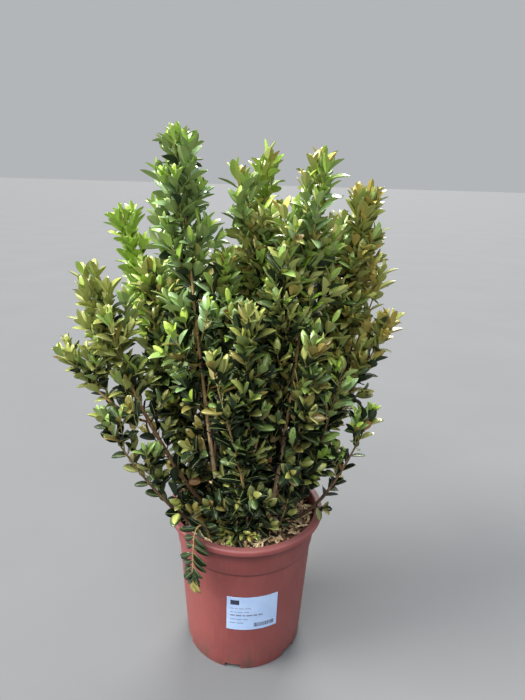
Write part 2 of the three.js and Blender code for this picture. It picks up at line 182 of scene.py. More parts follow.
# name, foot (angle, radius) or (parent, share), tip (angle, radius, height), spread, bare, girth,
# and the kind of colour that its leaves have.
LEADERS = [
    ("left_column", (240, 32), (209, 93, 725), 0.3, 0.3, 42, "green"),
    ("left_back", (150, 30), (161, 188, 633), 0.45, 0.32, 40, "fresh"),
    ("left_upper", (212, 36), (188, 209, 571), 0.7, 0.48, 44, "olive"),
    ("left_reach", ("left_upper", 0.44), (192, 243, 473), 0.7, 0.2, 33, "olive"),
    ("left_low", (228, 54), (204, 200, 406), 0.6, 0.3, 36, "dull"),
    ("left_inner", (185, 20), (171, 132, 569), 0.4, 0.2, 44, "mixed"),
    ("centre_tall", (20, 12), (35, 20, 712), 1, 0.35, 38, "sunny"),
    ("centre_left", ("centre_tall", 0.27), (225, 32, 690), 0.8, 0.25, 32, "sunny"),
    ("right_centre", (305, 36), (335, 86, 705), 0.3, 0.3, 42, "mixed"),
    ("right_tall", (10, 30), (15, 153, 670), 0.45, 0.32, 40, "bronze"),
    ("right_outer", ("right_tall", 0.26), (5, 172, 574), 0.7, 0.25, 34, "bronze"),
    ("far_right", (356, 40), (359, 188, 516), 0.9, 0.28, 35, "golden"),
    ("right_low", (340, 53), (350, 170, 397), 0.5, 0.28, 37, "green"),
    ("right_mid", (328, 40), (334, 132, 470), 0.45, 0.2, 38, "green"),
    ("front_centre", (275, 34), (270, 112, 546), 0.35, 0.22, 37, "front_in_painted_shade"),
    ("front_left", ("front_centre", 0.16), (250, 126, 492), 0.6, 0.15, 27, "front_in_painted_shade"),
    ("front_right", ("right_centre", 0.15), (306, 126, 510), 0.5, 0.2, 34, "dull"),
    ("centre_fill", ("right_centre", 0.2), (300, 76, 608), 0.9, 0.2, 38, "olive"),
    ("left_fill", ("left_column", 0.2), (243, 62, 600), 0.8, 0.2, 38, "mixed"),
    ("back_left", (125, 30), (131, 182, 592), 0.45, 0.25, 48, "green"),
    ("back_centre", (82, 32), (86, 168, 640), 0.4, 0.25, 46, "green"),
    ("back_right", (45, 30), (49, 186, 588), 0.45, 0.25, 48, "olive"),
    ("back_low_left", ("back_left", 0.19), (141, 208, 408), 0.8, 0.2, 44, "dull"),
    ("back_low", ("back_centre", 0.19), (91, 202, 432), 0.7, 0.2, 44, "dull"),
    ("back_low_right", ("back_right", 0.19), (38, 204, 404), 0.8, 0.2, 44, "dull"),
    ("basal_front", (262, 58), (264, 92, 330), 0.6, 0, 38, "dark"),
    ("basal_left", (200, 60), (198, 104, 310), 0.6, 0, 36, "dark"),
    ("basal_right", (312, 60), (312, 92, 300), 0.6, 0, 34, "dark"),
    ("basal_back", (105, 58), (108, 96, 320), 0.6, 0, 38, "dark"),
    ("basal_side", (22, 58), (20, 96, 300), 0.6, 0, 36, "dark"),
]
# The hanging shoot: its angle round the pot, its points by radius and height, how thick its foot
# is, and the share of it that is bare.
HANGING_ANGLE = 239.0
HANGING_ROUTE = [(84, MIX_TOP - 2), (98, 238), (119, 238), (124, 160)]
HANGING_THICK = 1.6
HANGING_BARE = 0.02

# Leaf tints, in the order of the material slots, each with its underside. Each spray is dealt
# one of its kind.
TINTS = {
    # The next three tints are painted shade: near-black, dark and dusky leaves for places in shade.
    "deep_a": ((0.006, 0.013, 0.005), "deep"),
    "deep_b": ((0.028, 0.052, 0.018), "deep"),
    "dusk": ((0.078, 0.130, 0.040), "deep"),
    "mid_a": ((0.175, 0.275, 0.062), "green"),
    "mid_b": ((0.310, 0.480, 0.120), "green"),
    # The next two tints are painted reflection: bluish greens that stand in for the sky's sheen on
    # glossy leaves.
    "cool_a": ((0.160, 0.290, 0.110), "green"),
    "cool_b": ((0.320, 0.500, 0.210), "green"),
    "fresh_a": ((0.330, 0.540, 0.055), "fresh"),
    "fresh_b": ((0.480, 0.660, 0.085), "fresh"),
    "olive_a": ((0.230, 0.250, 0.062), "olive"),
    "olive_b": ((0.420, 0.460, 0.115), "olive"),
    "bronze_a": ((0.280, 0.245, 0.060), "bronze"),
    "bronze_b": ((0.420, 0.385, 0.090), "bronze"),
    "ochre": ((0.290, 0.205, 0.055), "bronze"),
    "golden": ((0.500, 0.440, 0.090), "bronze"),
    "pale": ((0.620, 0.540, 0.160), "bronze"),
    "young": ((0.500, 0.630, 0.140), "fresh"),
    "dead": ((0.350, 0.165, 0.060), "dead"),
}
# How waxy and how shiny the leaves of the painted-shade tints are.
LEAF_SHINE = {"deep_a": (0.05, 0.12), "deep_b": (0.3, 0.3), "dusk": (0.5, 0.5)}
UNDERSIDES = {
    # The deep underside is painted shade, for the backs of the shade tints.
    "deep": (0.024, 0.042, 0.018),
    "green": (0.300, 0.400, 0.130),
    "fresh": (0.380, 0.550, 0.110),
    "olive": (0.390, 0.420, 0.120),
    "bronze": (0.420, 0.340, 0.090),
    "dead": (0.400, 0.200, 0.080),
}
RIB = (0.380, 0.410, 0.160)
TINT_NAMES = list(TINTS)
UNDERSIDE_NAMES = list(UNDERSIDES)
# The tints of painted shade, deep and at its edge, and the tints of ageing leaves.
SHADED = ["deep_a", "deep_b", "deep_a", "deep_a"]
DUSKY = ["dusk", "deep_b", "dusk", "mid_a"]
AGEING = ["olive_a", "bronze_a", "olive_a"]
AGEING_SHARE = 0.45
# For each kind of shoot: tints of its inner leaves, of its outer leaves and of its tips.
KINDS = {
    "green": ("dusk cool_a", "mid_b cool_b mid_a cool_b cool_b", "young fresh_b fresh_a"),
    "mixed": ("mid_a olive_a cool_a", "olive_b mid_b cool_b olive_b fresh_a", "young fresh_b pale"),
    # The sunny kind is painted light: lighter tints for the leaders in the middle of the crown, where
    # light reaches them.
    "sunny": ("mid_a olive_a", "mid_b olive_b fresh_a olive_b cool_b", "fresh_b young pale"),
    "fresh": ("mid_a mid_b", "fresh_a fresh_b fresh_a", "fresh_b young"),
    "olive": ("dusk olive_a", "olive_b mid_b olive_a olive_b", "olive_b young"),
    # The kind of the two front leaders is painted shade: dull, dark tints where the crown's own
    # shadow falls on the front.
    "front_in_painted_shade": ("deep_b olive_a", "olive_a mid_a dusk bronze_a", "olive_b mid_a"),
    "dull": ("deep_b olive_a", "mid_a olive_a ochre", "mid_b olive_b"),
    "bronze": ("olive_a mid_a", "bronze_b olive_b mid_b olive_b", "golden olive_b"),
    "golden": ("mid_a olive_a", "olive_b golden bronze_b olive_b", "golden pale"),
    "sprig": ("deep_b olive_a", "olive_b golden olive_b fresh_a", "golden young"),
    # The dark kind is mostly painted shade, for the low masses and the shoots inside the crown.
    "dark": ("deep_a deep_b", "deep_b olive_a dusk", "olive_a bronze_a olive_b"),
    "hanging": ("deep_b", "olive_a bronze_a", "bronze_b bronze_a"),
}
# Stems that show from the front: between which shares of the leader, and how wide the gap in the
# leaves before them is to each side.
STEMS_IN_SIGHT = {
    "left_column": (0.20, 0.56, 7.5),
    "right_centre": (0.16, 0.54, 7.5),
    "left_upper": (0.12, 0.56, 6.0),
    "left_low": (0.15, 0.75, 6.0),
    "right_low": (0.05, 0.60, 6.0),
    "right_outer": (0.05, 0.55, 6.0),
}
# Low masses whose shoots all have twigs, and two that are half bare.
BUSHY = {"basal_front", "basal_left", "basal_back"}
SPARSE = {"basal_right", "basal_side"}
# Boughs that lean out with small leaves and nothing under them.
LEAN = {"left_reach", "left_low", "right_low", "right_outer"}
# These end in a spire: few side shoots at the top, and pairs of larger leaves well apart.
AIRY = {"centre_tall", "right_centre", "right_tall", "right_outer", "left_upper"}
# Stems with light bark, slender stems, and stems that are bare at their foot.
LIGHT_STEMS = {"left_column", "right_centre"}
SLENDER = {"left_low", "right_low", "right_mid", "far_right"}
BARE_FOOT = {"right_low", "right_mid", "far_right", "right_tall"}
# The start of the names of masses with more and longer shoots, to fill the back of the crown.
FULL = "back_"
BACK_EXTRA = 14.0
# How much the shoots of some masses reach past their girth, in millimetres.
EXTRA_REACH = {
    "left_column": 9.0,
    "centre_tall": 7.0,
    "centre_left": 8.0,
    "right_tall": 14.0,
    "right_centre": 18.0,
    "left_fill": 6.0,
}
# How much longer the shoots to the left are, and shorter those to the right, as a share.
LOPSIDED = {"left_column": 0.4, "left_upper": 0.15}

# The shares of old and of dead leaves in full shade, and of leaves given painted deep shade: low down
# and in the middle of the crown, for outer and for inner leaves.
OLD_SHARE = 0.045
DEAD_SHARE = 0.012
OUTER_SHADE = (0.80, 0.88)
INNER_SHADE = (0.98, 0.97)
# Painted shade on the leaves begins below this height and is full at its depth. In the middle of the
# front it begins higher.
SUNNY_HEIGHT = 500.0
FRONT_SHADE = 100.0
FRONT_WIDTH = 72.0
SHADE_DEPTH = 240.0
# How far the crown reaches to each side, and the height where it has opened out.
SIDE_REACH = 190.0
FRONT_REACH = 112.0
BACK_REACH = 190.0
OPEN_HEIGHT = 500.0

# Bark and chips: the dark of the grain, its light and its lines.
BARKS = {
    "bark_light": ((0.27, 0.175, 0.090), (0.60, 0.44, 0.245), (0.78, 0.64, 0.42)),
    "bark_brown": ((0.090, 0.048, 0.026), (0.24, 0.135, 0.066), (0.40, 0.26, 0.14)),
    "bark_dark": ((0.040, 0.024, 0.015), (0.115, 0.070, 0.040), (0.23, 0.15, 0.09)),
    "shoot_bark": ((0.21, 0.115, 0.050), (0.50, 0.325, 0.145), (0.66, 0.50, 0.27)),
    "green_bark": ((0.16, 0.14, 0.04), (0.34, 0.29, 0.08), (0.42, 0.34, 0.12)),
    # This bark is painted shade: a near-black bark for the shoots of the dark kind, low and inside
    # the crown.
    "shaded_bark": ((0.022, 0.014, 0.009), (0.060, 0.038, 0.022), (0.13, 0.09, 0.05)),
    "dull_bark": ((0.060, 0.038, 0.022), (0.20, 0.125, 0.065), (0.36, 0.25, 0.14)),
    "chip_straw": ((0.66, 0.48, 0.26), (0.86, 0.70, 0.44), (0.94, 0.82, 0.58)),
    "chip_tan": ((0.36, 0.22, 0.11), (0.58, 0.40, 0.21), (0.72, 0.54, 0.32)),
    "chip_dark": ((0.10, 0.058, 0.033), (0.17, 0.10, 0.055), (0.05, 0.028, 0.018)),
}


def lerp(a, b, share):
    return a + (b - a) * share


def clamped(value):
    return min(max(value, 0.0), 1.0)


def polar(angle, radius, height):
    turn = math.radians(angle)
    return np.array([radius * math.cos(turn), radius * math.sin(turn), height])


def unit(vector):
    return vector / np.linalg.norm(vector)


def squared(hint, axis):
    """The hint turned square to the axis."""
    return unit(hint - np.dot(hint, axis) * axis)


def around(axis, degrees, hint=FRONT):
    """The direction square to the axis, turned about it from the hint."""
    side = squared(hint, axis)
    turn = math.radians(degrees)
    return side * math.cos(turn) + np.cross(axis, side) * math.sin(turn)


def random_stream(seed):
    """The seeded generator of the part's source. The same seed grows the same shoot."""
    state = seed & MASK

    def draw(low=0.0, high=1.0):
        nonlocal state
        state = (state + 0x6D2B79F5) & MASK
        t = state
        t = ((t ^ (t >> 15)) * (t | 1)) & MASK
        t ^= (t + (((t ^ (t >> 7)) * (t | 61)) & MASK)) & MASK
        return lerp(low, high, ((t ^ (t >> 14)) & MASK) / (MASK + 1))

    return draw


class Leader:
    """One leader's smooth curve from its foot to its tip, in millimetres."""

    def __init__(self, row, order, planted):
        self.name, foot, self.tip, self.spread, self.bare, self.girth, self.kind = row
        self.order = order
        self.forked = isinstance(foot[0], str)
        if self.forked:
            parent = planted[foot[0]]
            x, y, z = parent.point(foot[1])
            angle = math.degrees(math.atan2(y, x))
            angle += 360 * round((self.tip[0] - angle) / 360)
            self.start = (angle, math.hypot(x, y), z)
            self.thick = BOUGH_SHARE * parent.radius(foot[1])
        else:
            self.start = (*foot, MIX_TOP + GAP)
            self.thick = STEM_FOOT / 2 if self.bare == 0 else STEM_FOOT
        self.length = self.measured()

    def point(self, share):
        share = max(share, 0.0)
        angle = lerp(self.start[0], self.tip[0], share)
        radius = lerp(self.start[1], self.tip[1], share**self.spread)
        return polar(angle, radius, lerp(self.start[2], self.tip[2], share))

    def tangent(self, share):
        step = 0.0001
        low = max(share - step, 0.0)
        high = min(share + step, 1.0)
        return unit(self.point(high) - self.point(low))

    def line(self, low, high, steps):
        """Points at even steps from one share to another."""
        return [self.point(lerp(low, high, i / steps)) for i in range(steps + 1)]

    def measured(self):
        points = np.array(self.line(0, 1, 200))
        return float(np.linalg.norm(np.diff(points, axis=0), axis=1).sum())

    def radius(self, share):
        rise = self.point(share)[2] - MIX_TOP
        flared = not self.forked and self.bare > 0
        flare = FLARE * math.exp(-rise / FLARE_HEIGHT) if flared else 0.0
        return lerp(self.thick, STEM_TIP, share) + flare


class HangingLeader(Leader):
    """The shoot that arches over the rim and hangs down outside."""

    def __init__(self, order):
        self.name = "hanging_shoot"
        self.order = order
        self.bare = HANGING_BARE
        self.kind = "hanging"
        self.forked = True
        self.thick = HANGING_THICK
        self.route = [polar(HANGING_ANGLE, radius, height) for radius, height in HANGING_ROUTE]
        self.length = self.measured()

    def point(self, share):
        share = clamped(share)
        a, b, c, d = self.route
        place = share * 3
        part = min(int(place), 2)
        t = place - part
        route = (2 * a - b, a, b, c, d, 2 * d - c)
        p0, p1, p2, p3 = route[part : part + 4]
        bend = (2 * p0 - 5 * p1 + 4 * p2 - p3) * t * t + (3 * p1 - p0 - 3 * p2 + p3) * t**3
        return 0.5 * (2 * p1 + (p2 - p0) * t + bend)


class Heap:
    """The points and faces of one piece, gathered before its mesh is made."""

    def __init__(self):
        self.points = []
        self.loops = []
        self.sizes = []
        self.slots = []
        self.smooth = []
        self.count = 0

    def add(self, points, *groups):
        """Points as rows, and groups of faces: rows of point numbers, their slot, smooth or not."""
        for faces, slot, smooth in groups:
            self.loops.append((faces + self.count).ravel())
            self.sizes.append(np.full(len(faces), faces.shape[1]))
            self.slots.append(np.broadcast_to(slot, len(faces)))
            self.smooth.append(np.full(len(faces), smooth))
        self.points.append(points)
        self.count += len(points)

    def piece(self, name, looks):
        """The piece as an object, in metres."""
        mesh = bpy.data.meshes.new(name)
        points = np.concatenate(self.points) * MM
        loops = np.concatenate(self.loops).astype(np.int32)
        sizes = np.concatenate(self.sizes)
        starts = np.concatenate([[0], np.cumsum(sizes)[:-1]]).astype(np.int32)
        mesh.vertices.add(len(points))
        mesh.vertices.foreach_set("co", points.astype(np.float32).ravel())
        mesh.loops.add(len(loops))
        mesh.loops.foreach_set("vertex_index", loops)
        mesh.polygons.add(len(sizes))
        mesh.polygons.foreach_set("loop_start", starts)
        mesh.polygons.foreach_set("material_index", np.concatenate(self.slots).astype(np.int32))
        mesh.polygons.foreach_set("use_smooth", np.concatenate(self.smooth).astype(bool))
        mesh.update(calc_edges=True)
        for look in looks:
            mesh.materials.append(look)
        return placed(name, mesh)


def placed(name, data):
    thing = bpy.data.objects.new(name, data)
    bpy.context.scene.collection.objects.link(thing)
    return thing


def placed_bmesh(name, made):
    mesh = bpy.data.meshes.new(name)
    made.to_mesh(mesh)
    made.free()
    return placed(name, mesh)


def carried(thing, slot, *nodes):
    """The piece rides with the plant and stands for the nodes, which it hides. The slot is not used.
    """
    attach(thing, "root")
    if nodes:
        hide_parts(*nodes)
    return thing


def ring_faces(rings, sides):
    """The faces that join rings of points, each to the next, and the first and last ring closed."""
    k = np.arange(sides)
    after = (k + 1) % sides
    start = sides * np.arange(rings - 1)[:, None]
    walls = np.stack([start + k, start + after, start + sides + after, start + sides + k], -1)
    return walls.reshape(-1, 4), np.stack([k[::-1], (rings - 1) * sides + k])


def ring(radius, height, sides):
    turns = 2 * np.pi * np.arange(sides) / sides
    return np.stack([radius * np.cos(turns), radius * np.sin(turns), np.full(sides, height)], 1)


def spun(rings, bottom, top):
    """A closed solid from rings, with a middle point at each of the two heights."""
    sides = len(rings[0])
    k = np.arange(sides)
    after = (k + 1) % sides
    last = 2 + (len(rings) - 1) * sides
    foot = np.stack([0 * k, 2 + after, 2 + k], 1)
    head = np.stack([0 * k + 1, last + k, last + after], 1)
    walls, _ = ring_faces(len(rings), sides)
    heap = Heap()
    points = np.concatenate([[(0, 0, bottom), (0, 0, top)], *rings])
    heap.add(points, (foot, 0, True), (walls + 2, 0, True), (head, 0, True))
    return heap


# Materials.


def set_inputs(tree, node, values):
    """Each value is a number, a colour or the socket that the input is linked to."""
    for key, value in values.items():
        if isinstance(value, bpy.types.NodeSocket):
            tree.links.new(value, node.inputs[key])
        else:
            node.inputs[key].default_value = value


def added(tree, kind, output, values, **settings):
    """The output of a new shader node."""
    node = tree.nodes.new("ShaderNode" + kind)
    for name, value in settings.items():
        setattr(node, name, value)
    set_inputs(tree, node, values)
    return node.outputs[output]


def material(name, roughness, specular):
    made = bpy.data.materials.new(name)
    made.use_nodes = True
    tree = made.node_tree
    shader = tree.nodes["Principled BSDF"]
    set_inputs(tree, shader, {"Roughness": roughness, "Specular IOR Level": specular})
    return made, tree, shader


def plain_material(name, colour, roughness, specular=0.5, wax=0.0):
    made, tree, shader = material(name, roughness, specular)
    coat = {"Coat Weight": wax, "Coat Roughness": 0.16}
    set_inputs(tree, shader, {"Base Color": (*colour, 1), **coat})
    return made


def object_place(tree):
    return added(tree, "TexCoord", "Object", {})


def height_value(tree):
    return added(tree, "SeparateXYZ", "Z", {"Vector": object_place(tree)})


def noise(tree, squash, scale, detail=4.0, roughness=0.55):
    """Noise in object coordinates, drawn out upwards where the squash is under 1."""
    mapping = {"Vector": object_place(tree), "Scale": (1, 1, squash)}
    place = added(tree, "Mapping", "Vector", mapping)
    grain = {"Vector": place, "Scale": scale, "Detail": detail, "Roughness": roughness}
    return added(tree, "TexNoise", "Fac", grain)


def ramp(tree, value, stops):
    """A colour ramp of (position, colour) stops."""
    node = tree.nodes.new("ShaderNodeValToRGB")
    points = node.color_ramp.elements
    while len(points) < len(stops):
        points.new(0.5)
    for point, (position, colour) in zip(points, stops):
        point.position = position
        point.color = (*colour, 1)
    tree.links.new(value, node.inputs["Fac"])
    return node.outputs["Color"]


def tinted(tree, share, base, colour):
    """The base, a socket, mixed with a plain colour by the share."""
    colours = {MIX_A: base, MIX_B: (*colour, 1)}
    return added(tree, "Mix", MIX_RESULT, {"Factor": share, **colours}, data_type="RGBA")


def ranged(tree, value, low, high, to_low=0.0, to_high=1.0):
    limits = {"From Min": low, "From Max": high, "To Min": to_low, "To Max": to_high}
    return added(tree, "MapRange", "Result", {"Value": value, **limits})


def product(tree, a, b):
    return added(tree, "Math", 0, {0: a, 1: b}, operation="MULTIPLY")


def bumped(tree, shader, value, strength, distance):
    bump = {"Height": value, "Strength": strength, "Distance": distance}
    set_inputs(tree, shader, {"Normal": added(tree, "Bump", "Normal", bump)})


def grainy(name, finish, squash, grain, stops, bump=None):
    """A material of some roughness and gloss, whose colour and bumps follow one noise."""
    made, tree, shader = material(name, *finish)
    value = noise(tree, squash, *grain)
    set_inputs(tree, shader, {"Base Color": ramp(tree, value, stops)})
    if bump:
        bumped(tree, shader, value, *bump)
    return made


def bark_material(name):
    dark, light, line = BARKS[name]
    stops = [(0.32, dark), (0.55, light), (0.72, line)]
    return grainy(name, (0.78, 0.3), 0.25, (420.0, 6.0, 0.65), stops, (0.7, 0.0012))


def pot_material():
    """Moulded plastic: terracotta, a little blotched, with fine flow lines, dust and a dirty foot."""
    made, tree, shader = material("pot_plastic", 0.48, 0.42)
    height = height_value(tree)
    blotch = noise(tree, 0.6, 22.0, 5.0)
    flow = noise(tree, 0.06, 260.0, 3.0)
    dust = noise(tree, 1, 900.0, 2.0)
    smear = noise(tree, 0.5, 45.0, 6.0, 0.7)
    colour = ramp(tree, blotch, [(0.3, (0.235, 0.056, 0.052)), (0.7, (0.285, 0.073, 0.068))])
    colour = tinted(tree, ranged(tree, flow, 0.55, 0.75, 0, 0.25), colour, (0.36, 0.120, 0.105))
    colour = tinted(tree, ranged(tree, dust, 0.66, 0.74, 0, 0.35), colour, (0.42, 0.23, 0.20))
    soil = product(tree, ranged(tree, height, 0.05, 0), ranged(tree, smear, 0.45, 0.62, 0, 0.75))
    colour = tinted(tree, soil, colour, (0.10, 0.065, 0.045))
    # Painted shade: dark bands under the collar's ledge and under the rim, where their shadows fall.
    for low, high, share in PAINTED_SHADE_BANDS:
        above = ranged(tree, height, low * MM, lerp(low, high, 0.7) * MM, 0, share)
        below = ranged(tree, height, high * MM, (high + 0.6) * MM, 1, 0)
        colour = tinted(tree, product(tree, above, below), colour, (0.080, 0.028, 0.024))
    # The rim's top is paler: partly a painted highlight where light falls on it, partly wear.
    rim = ranged(tree, height, (POT_HEIGHT - 2.5) * MM, (POT_HEIGHT - 0.5) * MM, 0, 0.8)
    rim_sheen_and_wear = product(tree, rim, ranged(tree, smear, 0.3, 0.6, 0.5, 1))
    colour = tinted(tree, rim_sheen_and_wear, colour, (0.200, 0.082, 0.080))
    roughness = ranged(tree, smear, 0.3, 0.7, 0.42, 0.60)
    set_inputs(tree, shader, {"Base Color": colour, "Roughness": roughness})
    bumped(tree, shader, flow, 0.12, 0.0006)
    return made


# The pot.


def wall_radius(height):
    if height <= STEP_HEIGHT:
        return lerp(BASE_RADIUS, STEP_RADIUS, height / STEP_HEIGHT)
    share = (height - STEP_HEIGHT) / (COLLAR_TOP - STEP_HEIGHT)
    return lerp(STEP_RADIUS + STEP_OUT, COLLAR_RADIUS, share)


def arc(centre, radius, start, stop, steps):
    """Points on a small arc of a profile, by angles in degrees."""
    turns = [math.radians(lerp(start, stop, i / steps)) for i in range(steps + 1)]
    return [(centre[0] + radius * math.cos(t), centre[1] + radius * math.sin(t)) for t in turns]


def pot_profile():
    """Outside upwards from the edge of the foot, over the rolled rim and down inside."""
    roll = 3.0
    outer = (RIM_RADIUS - roll, POT_HEIGHT - LIP_DROP + roll)
    upper = (RIM_RADIUS - roll, POT_HEIGHT - roll)
    inner = (COLLAR_RADIUS - WALL + roll, POT_HEIGHT - roll)
    profile = [(BASE_RADIUS - 1.5, 0), (BASE_RADIUS - 0.4, 0.4), (BASE_RADIUS, 1.5)]
    profile += [(wall_radius(z), z) for z in (20, 60, 100, 140, STEP_HEIGHT - 1)]
    profile += [(STEP_RADIUS, STEP_HEIGHT)]
    profile += [(STEP_RADIUS + STEP_OUT - 0.4, STEP_HEIGHT + 1.2)]
    profile += [(STEP_RADIUS + STEP_OUT, STEP_HEIGHT + 2.4)]
    profile += [(wall_radius(z), z) for z in (190, COLLAR_TOP - 1.5)]
    profile += [(COLLAR_RADIUS + 0.6, COLLAR_TOP + 0.2), (COLLAR_RADIUS + 2.5, COLLAR_TOP + 1)]
    profile += arc(outer, roll, -80, 0, 5)
    profile += arc(upper, roll, 0, 90, 6)
    profile += arc(inner, roll, 90, 180, 6)
    profile += [(wall_radius(STEP_HEIGHT + 4) - WALL, STEP_HEIGHT + 4)]
    profile += [(STEP_RADIUS - WALL, STEP_HEIGHT)]
    profile += [(wall_radius(FLOOR) - WALL, FLOOR + 2), (wall_radius(FLOOR) - WALL - 2, FLOOR)]
    return profile


def box_place(centre, size, lean=0.0):
    """Takes a cube of one metre to a box, in millimetres, that leans about Y."""
    tilt = Matrix.Rotation(lean, 4, "Y")
    return Matrix.Translation(Vector(centre) * MM) @ tilt @ Matrix.Diagonal((*(Vector(size) * MM), 1))


def cutter(operator, place, **shape):
    made = bmesh.new()
    operator(made, matrix=place, **shape)
    return placed_bmesh("cutter", made)


def pot_cutters():
    """Channels under the foot that end in notches, fine grooves over them, and drain holes."""
    length = BASE_RADIUS + 10 - CHANNEL_REACH
    channel_size = (length, NOTCH_WIDTH, 2 * NOTCH_HEIGHT)
    channel = box_place((CHANNEL_REACH + length / 2, 0, 0), channel_size)
    lean = math.atan((STEP_RADIUS - BASE_RADIUS) / STEP_HEIGHT)
    corner = (wall_radius(30) + 5 - GROOVE_DEPTH, -NOTCH_WIDTH / 2, NOTCH_HEIGHT)
    groove = box_place(corner, (10, GROOVE_WIDTH, 2 * GROOVE_HEIGHT), lean)
    drain = Matrix.Translation((DRAIN_CIRCLE * MM, 0, 0))
    radii = {"radius1": DRAIN_RADIUS * MM, "radius2": DRAIN_RADIUS * MM}
    bore = {"cap_ends": True, "segments": 32, "depth": (2 * FLOOR + 4) * MM, **radii}
    cutters = []
    for i in range(NOTCHES):
        turn = Matrix.Rotation(math.radians(NOTCH_TURN + i * 360 / NOTCHES), 4, "Z")
        cutters.append(cutter(bmesh.ops.create_cube, turn @ channel, size=1))
        cutters.append(cutter(bmesh.ops.create_cube, turn @ groove, size=1))
        cutters.append(cutter(bmesh.ops.create_cone, turn @ drain, **bore))
    return cutters


def carve(thing, cutters):
    """Takes the cutters out of the thing, and removes them."""
    for cutter in cutters:
        change = thing.modifiers.new("cut", "BOOLEAN")
        change.operation = "DIFFERENCE"
        change.solver = "EXACT"
        change.object = cutter
    bpy.context.view_layer.update()
    shaped = thing.evaluated_get(bpy.context.evaluated_depsgraph_get())
    mesh = bpy.data.meshes.new_from_object(shaped)
    thing.modifiers.clear()
    thing.data = mesh
    for cutter in cutters:
        bpy.data.objects.remove(cutter)


def make_pot():
    rings = [ring(radius, height, POT_SIDES) for radius, height in pot_profile()]
    pot = spun(rings, 0, FLOOR).piece("nursery_pot", [])
    carve(pot, pot_cutters())
    pot.data.shade_smooth()
    pot.data.set_sharp_from_angle(angle=math.radians(CREASE))
    pot.data.materials.clear()
    pot.data.materials.append(pot_material())
    carried(pot, "pot", "pot")


# The potting mix and the chips that lie on it.


def mix_level(radius):
    """The height of the mix at a distance from its middle."""
    edge = wall_radius(MIX_TOP - MIX_EDGE_DROP) - WALL - 1
    return MIX_TOP - MIX_EDGE_DROP * clamped((radius - MIX_FLAT) / (edge - MIX_FLAT))


def lumps(x, y):
    """A seeded field of soft lumps, in millimetres."""
    waves = ((0.21, 0.13, 1.3), (-0.11, 0.27, 4.1), (0.37, -0.29, 2.2), (0.52, 0.44, 0.4))
    return LUMP_HEIGHT * sum(np.sin(a * x + b * y + c) for a, b, c in waves) / len(waves)


def make_mix():
    """The filling of the pot, from its foot up to its lumpy top and in to the middle."""
    edge = wall_radius(MIX_TOP - MIX_EDGE_DROP) - WALL - 0.6
    rings = [
        ring(wall_radius(FLOOR) - WALL - 3, FLOOR + GAP, MIX_SIDES),
        ring(STEP_RADIUS - WALL - 1, STEP_HEIGHT, MIX_SIDES),
    ]
    for radius in np.linspace(edge, 0, 34)[:-1]:
        top = ring(radius, mix_level(radius), MIX_SIDES)
        top[:, 2] += lumps(top[:, 0], top[:, 1])
        rings.append(top)
    stops = [(0.35, (0.016, 0.010, 0.007)), (0.54, (0.070, 0.042, 0.024)), (0.70, (0.27, 0.18, 0.10))]
    look = grainy("potting_mix", (0.92, 0.25), 1, (220.0, 8.0, 0.7), stops, (1.0, 0.004))
    mix = spun(rings, FLOOR + GAP, MIX_TOP).piece("potting_mix_top", [look])
    carried(mix, "potting_mix", "potting_mix")


def chip_points(draw, length, width, thickness):
    """A split sliver of wood: a tapered bar, a little bent."""
    bend = draw(-0.12, 0.12) * length
    points = []
    for i in range(CHIP_RINGS):
        share = i / (CHIP_RINGS - 1)
        taper = lerp(0.45, 1.0, math.sin(math.pi * lerp(0.12, 0.85, share)) ** 0.7)
        for k in range(CHIP_SIDES):
            turn = 2 * math.pi / CHIP_SIDES * k + 0.3
            wobble = draw(0.8, 1.1)
            y = 0.5 * width * taper * wobble * math.cos(turn)
            z = 0.5 * thickness * wobble * math.sin(turn)
            points.append((length * (share - 0.5), y, z + bend * math.sin(math.pi * share)))
    return np.array(points)


def make_chips():
    """Chips strewn over the mix, more than half of them straw-coloured."""
    draw = random_stream(77)
    heap = Heap()
    walls, ends = ring_faces(CHIP_RINGS, CHIP_SIDES)
    for _ in range(CHIPS):
        length = lerp(7, 26, draw() ** 2)
        width = draw(1.8, 4.6)
        points = chip_points(draw, length, width, draw(0.9, 2.2))
        radius = CHIPS_REACH * math.sqrt(draw())
        radius = min(radius, wall_radius(MIX_TOP) - WALL - 2 - length * 0.42)
        turn = 2 * math.pi * draw()
        x, y = radius * math.cos(turn), radius * math.sin(turn)
        tilt = Euler((draw(-0.6, 0.6), draw(-0.42, 0.42), 2 * math.pi * draw()))
        height = mix_level(radius) + draw(0.8, 5.5) + lumps(x, y)
        kind = draw()
        slot = 0 if kind < STRAW_SHARE else 1 if kind < STRAW_SHARE + TAN_SHARE else 2
        points = points @ np.array(tilt.to_matrix()).T + (x, y, height)
        heap.add(points, (walls, slot, False), (ends, slot, False))
    looks = [bark_material(name) for name in ("chip_straw", "chip_tan", "chip_dark")]
    carried(heap.piece("wood_chips", looks), "potting_mix", "potting_mix")


# The label and its plain printed marks.


def on_label(across, up, lift):
    """A point at a distance along the wall from the label's left edge and above its foot."""
    height = LABEL["bottom"] + up
    radius = wall_radius(height) + GAP + lift
    middle = LABEL["turn"] - 90
    return polar(middle + math.degrees((across - LABEL["width"] / 2) / radius), radius, height)


def patch(heap, left, low, right, high, bottom, lift, slot):
    """A thin curved plate on the label, closed all round."""
    columns = max(2, int((right - left) / 2.5) + 1)
    corners = ((low, bottom), (high, bottom), (high, lift), (low, lift))
    across = np.linspace(left, right, columns)
    points = np.array([on_label(x, up, out) for x in across for up, out in corners])
    walls, ends = ring_faces(columns, len(corners))
    heap.add(points, (walls, slot, False), (ends, slot, False))


